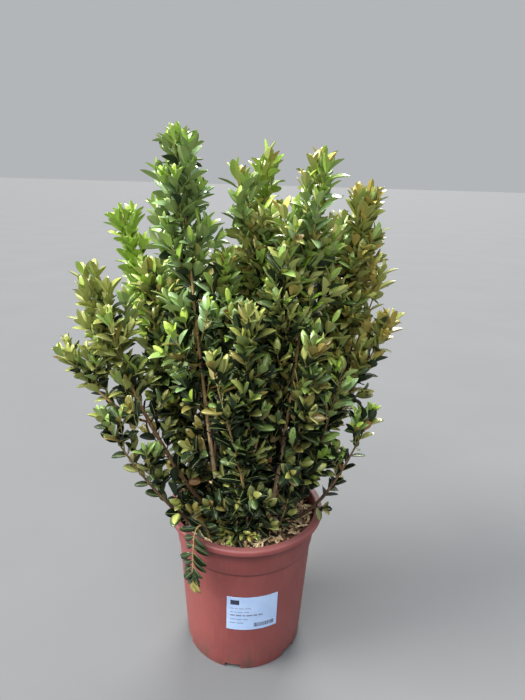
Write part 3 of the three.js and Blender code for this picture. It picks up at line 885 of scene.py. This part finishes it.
def make_marks():
    """A dark block, rows of word-like bars that spell nothing, and a row of fine bars."""
    width, height = LABEL["width"], LABEL["height"]
    marks = Heap()
    bottom, lift = LABEL["thickness"] - 0.16, LABEL["thickness"] - 0.08
    patch(marks, 5, height - 13, 17, height - 5, bottom, lift, 0)
    draw = random_stream(12)
    for row, (reach, weight) in enumerate(((34, 1.0), (30, 1.0), (48, 2.2), (26, 1.2), (22, 1.2))):
        level = height - 20 - 6.5 * row
        x = 5.0
        while x < reach:
            word = draw(3, 9)
            patch(marks, x, level, min(x + word, reach + 3), level + weight, bottom, lift, 1)
            x += word + 1.6
    x = 38.0
    while x < width - 6:
        bar = 0.5 + 0.9 * draw()
        patch(marks, x, 5, x + bar, 12, bottom, lift, 0)
        x += bar + 0.5 + 0.7 * draw()
    return marks


def make_label():
    paper = Heap()
    patch(paper, 0, 0, LABEL["width"], LABEL["height"], 0, LABEL["thickness"] - 0.15, 0)
    # The paper's blue is painted shade: the blue of skylight on a white label in shade, put into its
    # colour.
    stops = [(0.35, (0.44, 0.61, 0.93)), (0.7, (0.52, 0.68, 0.98))]
    look = grainy("label_paper", (0.38, 0.45), 1, (60.0, 4.0), stops, (0.1, 0.0003))
    carried(paper.piece("blank_label", [look]), "label", "label")
    ink = plain_material("label_ink", (0.035, 0.04, 0.075), 0.4)
    grey = plain_material("label_grey_ink", (0.20, 0.22, 0.28), 0.4)
    carried(make_marks().piece("label_marks", [ink, grey]), "label", "label")


# Stems, boughs and shoots.


def tube(heap, points, radii, sides, slot, hint=FRONT, level_foot=False):
    """A round tapering tube through the points, closed at both ends."""
    points = np.asarray(points)
    turns = 2 * np.pi * np.arange(sides) / sides
    rows = []
    side = hint
    count = len(points)
    for i, point in enumerate(points):
        axis = unit(points[min(i + 1, count - 1)] - points[max(i - 1, 0)])
        if i == 0 and level_foot:
            axis = UP
        side = squared(side, axis)
        spokes = np.cos(turns)[:, None] * side + np.sin(turns)[:, None] * np.cross(axis, side)
        rows.append(point + spokes * np.asarray(radii[i]).reshape(-1, 1))
    walls, ends = ring_faces(count, sides)
    heap.add(np.concatenate(rows), (walls, slot, True), (ends, slot, False))


def bark_relief(draw, sides, share, distance):
    """How far the bark stands out round one ring: ridges that wander, and a swelling at each node."""
    turns = 2 * np.pi * np.arange(sides) / sides
    ridges = 0.10 * np.sin(3 * turns + 0.06 * distance) + 0.06 * np.sin(5 * turns - 0.11 * distance)
    node = 0.10 * math.exp(-((distance % 17 - 8) ** 2) / 5)
    rough = np.array([draw(-0.07, 0.07) for _ in range(sides)])
    return 1 + (ridges + rough) * (1 - 0.5 * share) + node


def slimness(leader):
    return SLENDER_SLIM if leader.name in SLENDER else STEM_SLIM


def limb_bark(leader):
    if leader.name in LIGHT_STEMS:
        return "bark_light"
    return "bark_dark" if leader.name in SLENDER else "bark_brown"


def make_limbs(leaders):
    """The bare stems and boughs, up to a little way into their foliage."""
    heap = Heap()
    barks = ["bark_light", "bark_brown", "bark_dark"]
    limbs = [leader for leader in leaders if leader.bare > 0.1]
    for leader in limbs:
        draw = random_stream(500 + leader.order)
        end = leader.bare + 0.02
        steps = max(6, int(leader.length * end / 4))
        radii = []
        points = []
        for i in range(steps + 1):
            share = lerp(0.004 if leader.forked else 0.0, end, i / steps)
            relief = bark_relief(draw, LIMB_SIDES, share, share * leader.length)
            radii.append(slimness(leader) * leader.radius(share) * relief)
            points.append(leader.point(share))
        slot = barks.index(limb_bark(leader))
        tube(heap, points, radii, LIMB_SIDES, slot, level_foot=not leader.forked)
    looks = [bark_material(name) for name in barks]
    nodes = ["stem_" + leader.name for leader in limbs]
    carried(heap.piece("stems_and_boughs", looks), "bark", *nodes)


def fullness(share):
    """How far shoots reach at a share of the mass: drawn in to a point at the top."""
    return lerp(0.75, 1, min(share / 0.3, 1)) * math.sqrt(max(1 - share**3, 0))


def bounds_of_mass(leader):
    top = 1 - 0.88 * SOLID_LEAF / leader.length
    bottom = 0 if leader.bare == 0 else leader.bare + (GAP + 0.1) / leader.length
    return bottom, top


def clear_of_pot(point):
    across = math.hypot(point[0], point[1])
    inside = across < COLLAR_RADIUS - WALL - 3
    if point[2] > POT_HEIGHT + 1.5:
        return True
    outside = across > (RIM_RADIUS + 2 if point[2] > COLLAR_TOP else wall_radius(point[2]) + 3)
    return (inside and point[2] > MIX_TOP + 3) or outside


def stems_in_sight(leaders):
    """For each stem that shows: points along it, and how wide the gap before them is."""
    shown = []
    for leader in leaders:
        if leader.name in STEMS_IN_SIGHT:
            low, high, gap = STEMS_IN_SIGHT[leader.name]
            shown.append((np.array(leader.line(low, high, 60)), gap))
    return shown


def hides_a_stem(point, shown):
    """Whether a leaf there would stand before a stem that shows."""
    sight = point - EYE
    far = np.linalg.norm(sight)
    sight = sight / far
    for line, gap in shown:
        reach = line - EYE
        along = reach @ sight
        aside = np.linalg.norm(reach - along[:, None] * sight, axis=1)
        if np.any((aside < gap) & (along > far + 2)):
            return True
    return False


class Spray:
    """One leafy shoot: the points it runs through, its side, its colours and its leaf size.

    Where it has a facing, its leaves all turn their upper sides that way.
    """

    def __init__(self, points, hint, kind, size, seed, roundness=1.0, facing=None):
        self.points = np.array(points)
        self.hint = hint
        self.facing = facing
        self.kind = kind
        self.size = size
        self.roundness = roundness
        self.draw = random_stream(seed)
        self.span = np.linalg.norm(self.points[-1] - self.points[0])


def bent(foot, along, rise, length):
    """Points on a curve that leaves the foot one way and ends another."""
    knee = foot + along * length * 0.5
    end = knee + rise * length * 0.5
    shares = (0, 0.25, 0.5, 0.75, 1)
    return [lerp(lerp(foot, knee, t), lerp(knee, end, t), t) for t in shares]


def any_side(along, draw):
    """A side of the shoot, dealt at random."""
    return around(along, draw(0, 360))


def new_seed(draw):
    return int(1e6 * draw())


def leaning(axis, outward, slant, lift=0.0):
    """The direction at a slant in degrees from the axis, lifted a little."""
    slant = math.radians(slant)
    return unit(axis * math.cos(slant) + outward * math.sin(slant) + lift * UP)


def leaf_size(leader, order):
    """The size of the leaves, on the leader itself by order 0 and on its side shoots by 1."""
    if leader.kind == "dark":
        return LOW_SIZES[order]
    return LEAN_SIZE if leader.name in LEAN else 1.0


def shoot_vigour(leader, high, opposite, draw):
    """Some shoots grow long and many stay short."""
    low = leader.kind == "dark"
    long_share = 0.75 if low else lerp(0.45 if opposite else 0.62, 0.95, max(high - 0.3, 0) / 0.7)
    long_share += 0.3 * leader.name.startswith(FULL)
    return draw(*(LONG if draw() < long_share else SHORT))


def shoot_length(leader, share, high, outward, vigour, draw):
    """Shorter towards the tip of the leader and where it grows down, and never past that tip."""
    reach = leader.girth * max(fullness(min(high, 0.93)), 0.75) - 0.15 * LEAF_LENGTH
    reach += BACK_EXTRA if leader.name.startswith(FULL) else EXTRA_REACH.get(leader.name, 0)
    favour = min(max(1 + 0.9 * outward[2], 0.35), 1.25)
    length = favour * max(reach, 12) * vigour * (0.8 if leader.kind == "dark" else 1.0)
    left = (1 - share) * leader.length - 0.8 * LEAF_LENGTH
    length = min(length, max(draw(0.62, 1.02) * left, 6))
    return length * (1 - LOPSIDED.get(leader.name, 0) * outward[0] * max(1 - high**4, 0))


def is_missing(leader, high, outward, vigour, draw):
    """Whether a shoot is left out: in shade, before a stem that shows, or where the mass is thin."""
    name = leader.name
    fronted = name in STEMS_IN_SIGHT and np.dot(outward, FRONT) > 0.55 and high < 0.7
    return (
        (outward[2] < -0.2 and draw() < UNDER_MISSING)
        or (fronted and draw() < FRONT_MISSING)
        or (name in LEAN and outward[2] < 0.1)
        or (name in SPARSE and draw() < SPARSE_MISSING)
        or (vigour < 1 and high > 0.45 and leader.kind != "dark" and draw() < SHORT_MISSING)
        or (name in AIRY and high > 0.7 and draw() < SPIRE_MISSING)
    )


def side_spray(leader, station, stations, ends, opposite):
    """The shoot of the source's rule at one station, or its partner, bent up as it grows."""
    draw = random_stream(1000 * (leader.order + 1) + station)
    share = lerp(*ends, (station + 0.3 * opposite) / stations)
    high = station / stations
    low = leader.kind == "dark"
    axis = leader.tangent(share)
    swing = station * GOLDEN + draw(-20, 20) + 180 * opposite
    outward = around(axis, swing)
    slant = draw(36, 58) - 16 * max(high - 0.4, 0)
    vigour = shoot_vigour(leader, high, opposite, draw)
    length = shoot_length(leader, share, high, outward, vigour, draw)
    lift = lerp(-0.35, 0.35, min(2.5 * high, 1)) if low else 0.35
    along = leaning(axis, outward, slant, lift)
    hint = any_side(along, draw)
    upward = draw(0.4, 1.2) * (min(0.3 + 2 * high, 1) if low else 1)
    rise = unit(along + (UP + 0.6 * axis) * upward + draw(-0.15, 0.15) * hint)
    if is_missing(leader, high, outward, vigour, draw):
        return None
    kind = "sprig" if low and draw() < SPRIG_SHARE else leader.kind
    curve = bent(leader.point(share), along, rise, length)
    seed = 7000 * (leader.order + 1) + 2 * station + opposite
    return Spray(curve, hint, kind, leaf_size(leader, 1), seed, 1.06 if low else 1.0)


def twig_sprays(parent):
    """Two finer twigs on a shoot, on opposite sides of it."""
    twigs = []
    draw = parent.draw
    for number, start in ((0, 1), (1, 2)):
        foot, axis = parent.points[start], unit(parent.points[start + 1] - parent.points[start])
        outward = around(axis, 180 * number + draw(-30, 30), parent.hint)
        along = leaning(axis, outward, draw(34, 52))
        hint = any_side(along, draw)
        length = 0.5 * parent.span * draw(0.7, 1.0)
        curve = bent(foot, along, unit(along + 0.6 * UP), length)
        size = 0.9 * parent.size
        twigs.append(Spray(curve, hint, parent.kind, size, new_seed(draw), parent.roundness))
    return twigs


def leader_spray(leader, bottom):
    """The leafy upper part of the leader itself."""
    seed = 300 + leader.order
    if leader.kind == "hanging":
        side, out = polar(HANGING_ANGLE + 90, 1, 0), polar(HANGING_ANGLE, 1, 0)
        return Spray(leader.line(bottom, 0.97, 16), side, leader.kind, 0.95, seed, 0.82, out)
    size = SPIRE_SIZE if leader.name in AIRY else leaf_size(leader, 0)
    top = 1 - 0.85 * LEAF_LENGTH / leader.length
    return Spray(leader.line(bottom, top, 16), FRONT, leader.kind, size, seed)


def inner_sprays(leader, bottom):
    """Short shoots on the lower stem, inside the crown, with the dark tints of painted shade."""
    sprays = []
    low = (0.6 if leader.name in BARE_FOOT else 0.15) * bottom
    crowding = 3.0 if leader.forked else 1.5
    count = int(crowding * (bottom - low) * leader.length / STATION)
    draw = random_stream(900 + leader.order)
    for i in range(count):
        share = lerp(low, bottom, i / count)
        axis = leader.tangent(share)
        outward = around(axis, i * GOLDEN + draw(0, 90))
        along = unit(axis * 0.6 + outward)
        hint = any_side(along, draw)
        curve = bent(leader.point(share), along, unit(along + 0.5 * UP), draw(24, 54))
        if outward[2] > -0.3 and clear_of_pot(curve[-1]) and clear_of_pot(curve[2]):
            sprays.append(Spray(curve, hint, "dark", 0.9, new_seed(draw), 1.1))
    return sprays


def ground_sprays(leader):
    """Short shoots that spread over the potting mix from the foot of a bushy low mass."""
    sprays = []
    draw = random_stream(1500 + leader.order)
    for i in range(GROUND_SHOOTS):
        outward = polar(leader.start[0] + lerp(-95, 95, i / (GROUND_SHOOTS - 1)), 1, 0)
        foot = leader.point(0) + UP * draw(3, 14)
        along = unit(outward + 0.5 * UP)
        hint = any_side(along, draw)
        rise = unit(outward + draw(-0.35, 0.3) * UP)
        curve = bent(foot, along, rise, draw(18, 36))
        if clear_of_pot(curve[-1]):
            kind = "sprig" if draw() < SPRIG_SHARE else "dark"
            sprays.append(Spray(curve, hint, kind, 0.64, new_seed(draw), 1.04))
    return sprays


def sprays_of(leader):
    """All the leafy shoots of one mass. The first is the leader's own upper part."""
    bottom, top = bounds_of_mass(leader)
    stations = round((top - bottom) * leader.length / STATION)
    sprays = [leader_spray(leader, bottom)]
    if leader.kind == "hanging":
        return sprays
    if leader.bare > 0.1:
        sprays += inner_sprays(leader, bottom)
    if leader.name in BUSHY:
        sprays += ground_sprays(leader)
    twiggy = leader.name in BUSHY or leader.name.startswith(FULL)
    extra = int((1 - top) * leader.length * (0.3 if leader.name in AIRY else 0.55) / STATION)
    for station in range(1, stations + extra):
        for opposite in (0, 1):
            spray = side_spray(leader, station, stations, (bottom, top), opposite)
            if spray is None or not clear_of_pot(spray.points[-1]):
                continue
            sprays.append(spray)
            if twiggy or (spray.span > TWIGGY_LENGTH and station < stations * 0.7):
                sprays += [twig for twig in twig_sprays(spray) if clear_of_pot(twig.points[-1])]
    return sprays


def shoot_bark(leader, spray, main):
    if main:
        return "dull_bark" if leader.name in SLENDER else "shoot_bark"
    # The shoots of the dark kind take the bark of painted shade.
    return "shaded_bark" if spray.kind == "dark" else "green_bark"


def make_shoots(leaders, sprays):
    heap = Heap()
    barks = ["shoot_bark", "green_bark", "shaded_bark", "dull_bark"]
    for leader in leaders:
        stem = leader.radius(bounds_of_mass(leader)[0]) * slimness(leader)
        for number, spray in enumerate(sprays[leader.name]):
            main = number == 0
            last = len(spray.points) - 1
            radii = [lerp(stem if main else 1.0, 0.6, i / last) for i in range(last + 1)]
            slot = barks.index(shoot_bark(leader, spray, main))
            tube(heap, spray.points, radii, 8 if main else 4, slot, spray.hint)
    carried(heap.piece("shoots", [bark_material(name) for name in barks]), "bark")


# Leaves.


def blade(bend, fold, half_widths):
    """A closed leaf of length and width 1 along +X: points, and upper, rib, lower and end faces."""
    points = []
    for t, half in zip(ROWS, half_widths):
        rib = 0.05 * (1 - 0.6 * t)
        drop = -bend * t * t
        for across in (-half, -rib, rib, half):
            points.append((t, across / 2, drop + fold * (abs(across) - rib)))
        points.append((t, 0, drop - 0.03 * min(1, 3 * half)))
    upper, rib, lower = [], [], []
    for i in range(len(ROWS) - 1):
        a, b = ROW_POINTS * i, ROW_POINTS * (i + 1)
        upper += [(a, b, b + 1, a + 1), (a + 2, b + 2, b + 3, a + 3)]
        rib += [(a + 1, b + 1, b + 2, a + 2)]
        lower += [(a, a + 4, b + 4, b), (a + 4, a + 3, b + 3, b + 4)]
    last = ROW_POINTS * (len(ROWS) - 1)
    ends = [(0, 1, 2, 3, 4), tuple(last + k for k in (4, 3, 2, 1, 0))]
    return np.array(points), np.array(upper), np.array(rib), np.array(lower), np.array(ends)


BLADES = [blade(bend, fold, widths) for widths in (POINTED, ROUND) for bend, fold in BENDS]
LEAF_TRIANGLES = 2 * sum(len(faces) for faces in BLADES[0][1:4]) + 6


class Leaf:
    """Where one leaf stands, how it is turned, and which tint it has."""

    def __init__(self, root, along, face, length, width, shape, tint):
        self.root = root
        self.middle = root + along * length * 0.5
        self.end = root + along * length
        self.turn = np.stack([along * length, np.cross(face, along) * width, face * length], 1)
        self.shape = shape
        self.tint = tint


def joint_on(points, distances, distance):
    """The place and the direction at a distance along the points."""
    i = int(np.searchsorted(distances, distance, side="right") - 1)
    i = min(max(i, 0), len(points) - 2)
    share = (distance - distances[i]) / (distances[i + 1] - distances[i])
    return lerp(points[i], points[i + 1], share), unit(points[i + 1] - points[i])


def inside_crown(place):
    """How deep inside the crown a place is: 0 at its outside and 1 in its middle."""
    swell = lerp(0.42, 1.0, clamped((place[2] - MIX_TOP) / (OPEN_HEIGHT - MIX_TOP)))
    depth = FRONT_REACH if place[1] < 0 else BACK_REACH
    far = math.hypot(place[0] / SIDE_REACH, place[1] / depth) / swell
    return clamped((0.75 - far) / 0.35) * clamped(1 - (place[2] - OPEN_HEIGHT) / 80)


def lowness(place):
    """How far down in the painted shade a place is. In the middle of the front, the shade starts
    higher.
    """
    fronted = place[1] < 0 and abs(place[0]) < FRONT_WIDTH
    sunny = SUNNY_HEIGHT + (FRONT_SHADE if fronted else 0)
    return clamped((sunny - place[2]) / SHADE_DEPTH)


def tint_for(spray, place, outer, tip, dealt):
    """Tips are the lightest. Leaves low down and inside the crown mostly get the dark tints of
    painted shade.
    """
    inner_tints, outer_tints, tip_tints = (names.split() for names in KINDS[spray.kind])
    draw = spray.draw
    low = lowness(place)
    inside = inside_crown(place)
    hanging = spray.kind == "hanging"
    low_share, inside_share = OUTER_SHADE if outer else INNER_SHADE
    shade = max(low * low_share, inside * inside_share)
    shade *= SPRIG_SHADE if spray.kind == "sprig" and outer else 1.0
    if draw() < DEAD_SHARE * low and not tip and not hanging:
        return TINT_NAMES.index("dead")
    if draw() < OLD_SHARE * max(low, 0.25) and not outer and not hanging:
        return TINT_NAMES.index("ochre")
    if tip and draw() > 0.7 * inside:
        names = tip_tints
    elif draw() < shade:
        names = SHADED if draw() < (0.8 * low + 0.1 if outer else 1.0) else DUSKY
    elif draw() < low * AGEING_SHARE:
        names = AGEING
    elif outer or draw() > low + 0.3:
        names = outer_tints
    else:
        names = inner_tints
    pick = dealt if draw() < 0.8 else draw()
    return TINT_NAMES.index(names[int(pick * len(names))])


def leaf_pair(spray, main, place, axis, left, swing, dealt):
    """Two opposite leaves, small and drawn together where little of the shoot is left.

    Lower leaves are rounder, and are turned up and out to the light.
    """
    draw = spray.draw
    flat = spray.kind == "hanging"
    height = place[2]
    outer = left < OUTER_END or (main and left < (HANGING_END if flat else LEADER_END))
    spread = lerp(HIGH_SPREAD, LOW_SPREAD, clamped((OPEN_HEIGHT - height) / 200))
    lean = lerp(TIP_SPREAD, spread, min(left / OUTER_END, 1)) + draw(-10, 10)
    size = spray.size * lerp(0.72, 1.0, min(left / 8, 1)) * draw(0.84, 1.1)
    size *= 1.0 if flat else lerp(0.88, 1.0, clamped((height - SMALL_TOP) / SMALL_FADE))
    slender = lerp(0.78, 1.0, min(left / 26, 1)) * spray.roundness
    slender *= 1.0 if flat else lerp(1.18, 1.0, clamped((height - SMALL_TOP) / WIDE_FADE))
    old = clamped((ROUND_TOP - height) / ROUND_FADE)
    to_light = 0.2 * UP if flat else lerp(0.15, 0.85, old) * (UP + unit(place * (1, 1, 0)))
    pair = []
    for side in (0, 180):
        outward = around(axis, swing + side + draw(-13, 13), spray.hint)
        slant = math.radians(lean + draw(-8, 8))
        along = axis * math.cos(slant) + outward * math.sin(slant)
        face = axis * math.sin(slant) - outward * math.cos(slant)
        face = face if spray.facing is None else spray.facing
        face = face + to_light + draw(-0.25, 0.25) * np.cross(face, along)
        length = LEAF_LENGTH * size * draw(0.9, 1.08)
        width = LEAF_WIDTH * size * slender * draw(0.88, 1.1)
        shape = int(draw() * len(BENDS))
        shape += len(BENDS) if draw() < old else 0
        tint = tint_for(spray, place, outer, left < TIP_END, dealt)
        root = place + outward * 0.5
        pair.append(Leaf(root, along, squared(face, along), length, width, shape, tint))
    return pair


def leaves_on(spray, main, shown):
    """Opposite pairs, each turned a quarter round from the last, and closer at the tip.

    On the hanging shoot the pairs all spread to the sides. A leaf that would touch the pot or stand
    before a stem that shows is left out.
    """
    flat = spray.kind == "hanging"
    quarter, step = (0, HANGING_STEP) if flat else (90, LEADER_STEP if main else NODE_STEP)
    close = LEADER_CLOSE if main else SHOOT_CLOSE
    distances = np.linalg.norm(np.diff(spray.points, axis=0), axis=1)
    distances = np.concatenate([[0], np.cumsum(distances)])
    total = distances[-1]
    draw = spray.draw
    dealt = draw()
    leaves = []
    distance = 6.0 if main else 5.0 + 3.0 * draw()
    swing = 0
    while distance < total + 0.01:
        left = total - distance
        place, axis = joint_on(spray.points, distances, distance)
        for leaf in leaf_pair(spray, main, place, axis, left, swing, dealt):
            clear = clear_of_pot(leaf.end) and clear_of_pot(leaf.middle)
            if clear and not hides_a_stem(leaf.middle, shown):
                leaves.append(leaf)
        swing += quarter
        open_step = OPEN_STEP if main and place[2] > OPEN_HEIGHT else step
        distance += open_step * draw(0.85, 1.15) * (CLOSE_STEP if left < close else 1.0)
        if main and distance > total and left > 3:
            distance = total
    return leaves


def leaf_heap(leaves):
    """All the leaves of one piece, those of one shape at a time."""
    heap = Heap()
    rib_slot = len(TINT_NAMES) + len(UNDERSIDE_NAMES)
    backs = [UNDERSIDE_NAMES.index(TINTS[name][1]) + len(TINT_NAMES) for name in TINT_NAMES]
    for shape, (points, upper, rib, lower, ends) in enumerate(BLADES):
        chosen = [leaf for leaf in leaves if leaf.shape == shape]
        if not chosen:
            continue
        tints = np.array([leaf.tint for leaf in chosen])
        under = np.array([backs[leaf.tint] for leaf in chosen])
        turns = np.stack([leaf.turn for leaf in chosen])
        roots = np.stack([leaf.root for leaf in chosen])[:, None]
        moved = np.einsum("nij,kj->nki", turns, points) + roots
        shifts = (len(points) * np.arange(len(chosen)))[:, None, None]
        groups = []
        for faces, slot, smooth in (
            (upper, tints.repeat(len(upper)), True),
            (rib, rib_slot, True),
            (lower, under.repeat(len(lower)), False),
            (ends, under.repeat(len(ends)), False),
        ):
            groups.append(((faces + shifts).reshape(-1, faces.shape[1]), slot, smooth))
        heap.add(moved.reshape(-1, 3), *groups)
    return heap


def leaf_materials():
    """One material for each tint, for each underside and for the rib, in the order of the slots."""
    looks = []
    for name in TINT_NAMES:
        wax, shine = LEAF_SHINE.get(name, (0.7, 0.6))
        looks.append(plain_material("leaf_" + name, TINTS[name][0], 0.3, shine, wax))
    looks += [plain_material("back_" + name, UNDERSIDES[name], 0.5, 0.4) for name in UNDERSIDE_NAMES]
    looks.append(plain_material("leaf_rib", RIB, 0.45, 0.4))
    return looks


def make_leaves(leaders, sprays):
    """The leaves of one mass after another, in pieces that each stay under the limit."""
    groups = [([], [])]
    shown = stems_in_sight(leaders)
    for leader in leaders:
        grown = []
        for number, spray in enumerate(sprays[leader.name]):
            grown += leaves_on(spray, number == 0, shown)
        if (len(groups[-1][0]) + len(grown)) * LEAF_TRIANGLES > PIECE_TRIANGLES:
            groups.append(([], []))
        groups[-1][0].extend(grown)
        groups[-1][1].append(leader.name)
    looks = leaf_materials()
    for number, (leaves, nodes) in enumerate(groups, 1):
        carried(leaf_heap(leaves).piece(f"leaves_{number}", looks), "foliage", *nodes)


# The camera, the lights and the floor.


def make_camera():
    data = bpy.data.cameras.new("camera")
    data.sensor_width = SENSOR
    data.lens = FOCAL_PIXELS / PHOTO_HEIGHT * SENSOR
    data.clip_start = 0.01
    camera = placed("camera", data)
    tilt = Matrix.Rotation(math.radians(90 - CAMERA_PITCH), 4, "X")
    roll = Matrix.Rotation(math.radians(CAMERA_ROLL), 4, "Z")
    camera.matrix_world = Matrix.Translation(CAMERA_PLACE) @ tilt @ roll
    bpy.context.scene.camera = camera


def soft_sun(name, azimuth, elevation, strength, spread, colour):
    """A wide, even light from a direction, so that the floor is as bright far off as near by."""
    data = bpy.data.lights.new(name, "SUN")
    data.energy = strength
    data.angle = math.radians(spread)
    data.color = colour
    light = placed(name, data)
    rise = math.radians(elevation)
    towards = Vector(polar(azimuth, math.cos(rise), math.sin(rise)))
    light.location = towards * 4
    light.rotation_euler = (-towards).to_track_quat("-Z", "Y").to_euler()


def make_stage():
    made = bmesh.new()
    bmesh.ops.create_grid(made, x_segments=8, y_segments=8, size=40)
    floor = placed_bmesh("floor", made)
    stops = [(0.3, (0.145, 0.150, 0.157)), (0.7, (0.153, 0.158, 0.165))]
    floor.data.materials.append(grainy("pale_floor", (0.85, 0.2), 1, (3.0, 3.0), stops))
    world = bpy.data.worlds.new("studio")
    bpy.context.scene.world = world
    world.use_nodes = True
    background = world.node_tree.nodes["Background"]
    background.inputs["Color"].default_value = (0.94, 0.97, 1.0, 1)
    background.inputs["Strength"].default_value = 0.48
    soft_sun("left_key", -168, 42, 4.0, 28, (1.0, 0.96, 0.89))
    soft_sun("back_top", 82, 46, 3.4, 28, (1.0, 0.98, 0.94))
    soft_sun("overhead", -118, 62, 3.4, 60, (0.96, 0.98, 1.0))
    bpy.context.scene.view_settings.view_transform = "Standard"


def make_plant():
    planted = {}
    for order, row in enumerate(LEADERS):
        planted[row[0]] = Leader(row, order, planted)
    leaders = [*planted.values(), HangingLeader(len(LEADERS))]
    sprays = {leader.name: sprays_of(leader) for leader in leaders}
    make_limbs(leaders)
    make_shoots(leaders, sprays)
    make_leaves(leaders, sprays)


make_camera()
make_stage()
make_pot()
make_mix()
make_chips()
make_label()
make_plant()
